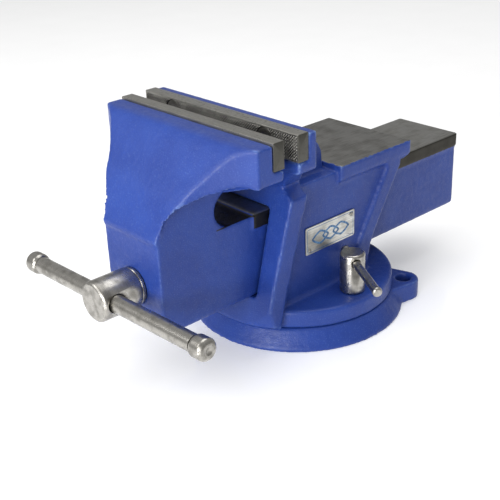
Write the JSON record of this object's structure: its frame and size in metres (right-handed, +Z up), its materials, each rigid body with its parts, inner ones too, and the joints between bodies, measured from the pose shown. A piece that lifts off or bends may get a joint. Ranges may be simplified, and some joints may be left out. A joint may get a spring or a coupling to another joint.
{
  "type": "bench vise",
  "caption": "Cast iron bench vise with a swivel base, an anvil, replaceable jaw plates and a screw-driven sliding jaw worked by a T-handle.",
  "frame": {"origin": "where the swivel axis meets the bench, in the middle of the base's underside", "axes": "+Z up along the swivel axis; +Y from the handle towards the anvil; +X along the jaws"},
  "size_m": [0.2048, 0.3344, 0.167],
  "materials": {
    "blue_enamel": "semi-gloss, fine cast texture",
    "hardened_steel": "ground, serrated",
    "screw_steel": "black oxide",
    "bright_steel": "turned, bright",
    "bronze": "machined",
    "aluminium_plate": "brushed"
  },
  "bodies": {
    "base": {"swivel_base": "blue_enamel"},
    "body": {"static_jaw_body": "blue_enamel", "static_jaw_plate": "hardened_steel", "static_plate_screw_left": "screw_steel", "static_plate_screw_right": "screw_steel", "spindle_nut": "bronze", "nut_bolt": "screw_steel", "lock_stud_left": "screw_steel", "lock_stud_right": "screw_steel", "nameplate": "aluminium_plate", "nameplate_rivet_lower": "aluminium_plate", "nameplate_rivet_upper": "aluminium_plate"},
    "jaw": {"moving_jaw": "blue_enamel", "moving_jaw_plate": "hardened_steel", "moving_plate_screw_left": "screw_steel", "moving_plate_screw_right": "screw_steel"},
    "screw": {"spindle": "bright_steel", "thrust_washer": "bright_steel", "spindle_spring": "bright_steel", "spring_washer": "bright_steel", "retaining_pin": "bright_steel"},
    "handle": {"handle_bar": "bright_steel", "handle_knob_left": "bright_steel", "handle_knob_right": "bright_steel"},
    "left_nut": {"lock_nut_left": "bright_steel"},
    "left_bar": {"lock_bar_left": "bright_steel"},
    "right_nut": {"lock_nut_right": "bright_steel"},
    "right_bar": {"lock_bar_right": "bright_steel"}
  },
  "joints": [
    {"name": "base_swivel", "type": "hinge", "parent": "base", "child": "body", "pos_m": [0, 0, 0], "axis": [0, 0, 1], "continuous": true},
    {"name": "jaw_slide", "type": "slide", "parent": "body", "child": "jaw", "axis": [0, -1, 0], "range_m": [-0.0112, 0.1385]},
    {"name": "spindle_turn", "type": "hinge", "parent": "jaw", "child": "screw", "pos_m": [0, -0.1511, 0.0683], "axis": [0, -1, 0], "range_deg": [-810, 9980]},
    {"name": "handle_slide", "type": "slide", "parent": "screw", "child": "handle", "axis": [0.9995, 0, 0.0314], "range_m": [-0.075, 0.061]},
    {"name": "lock_nut_turn_left", "type": "hinge", "parent": "body", "child": "left_nut", "pos_m": [-0.0553, 0, 0.0523], "axis": [0, 0, 1], "range_deg": [-120, 60]},
    {"name": "lock_bar_slide_left", "type": "slide", "parent": "left_nut", "child": "left_bar", "axis": [-0.866, -0.5, 0], "range_m": [-0.0013, 0.0043]},
    {"name": "lock_nut_turn_right", "type": "hinge", "parent": "body", "child": "right_nut", "pos_m": [0.0553, 0, 0.0523], "axis": [0, 0, 1], "range_deg": [-60, 120]},
    {"name": "lock_bar_slide_right", "type": "slide", "parent": "right_nut", "child": "right_bar", "axis": [0.866, -0.5, 0], "range_m": [-0.0013, 0.0043]}
  ],
  "couplings": [
    {"joint": "spindle_turn", "follows": "jaw_slide", "rad_per_m": 1256.6}
  ]
}
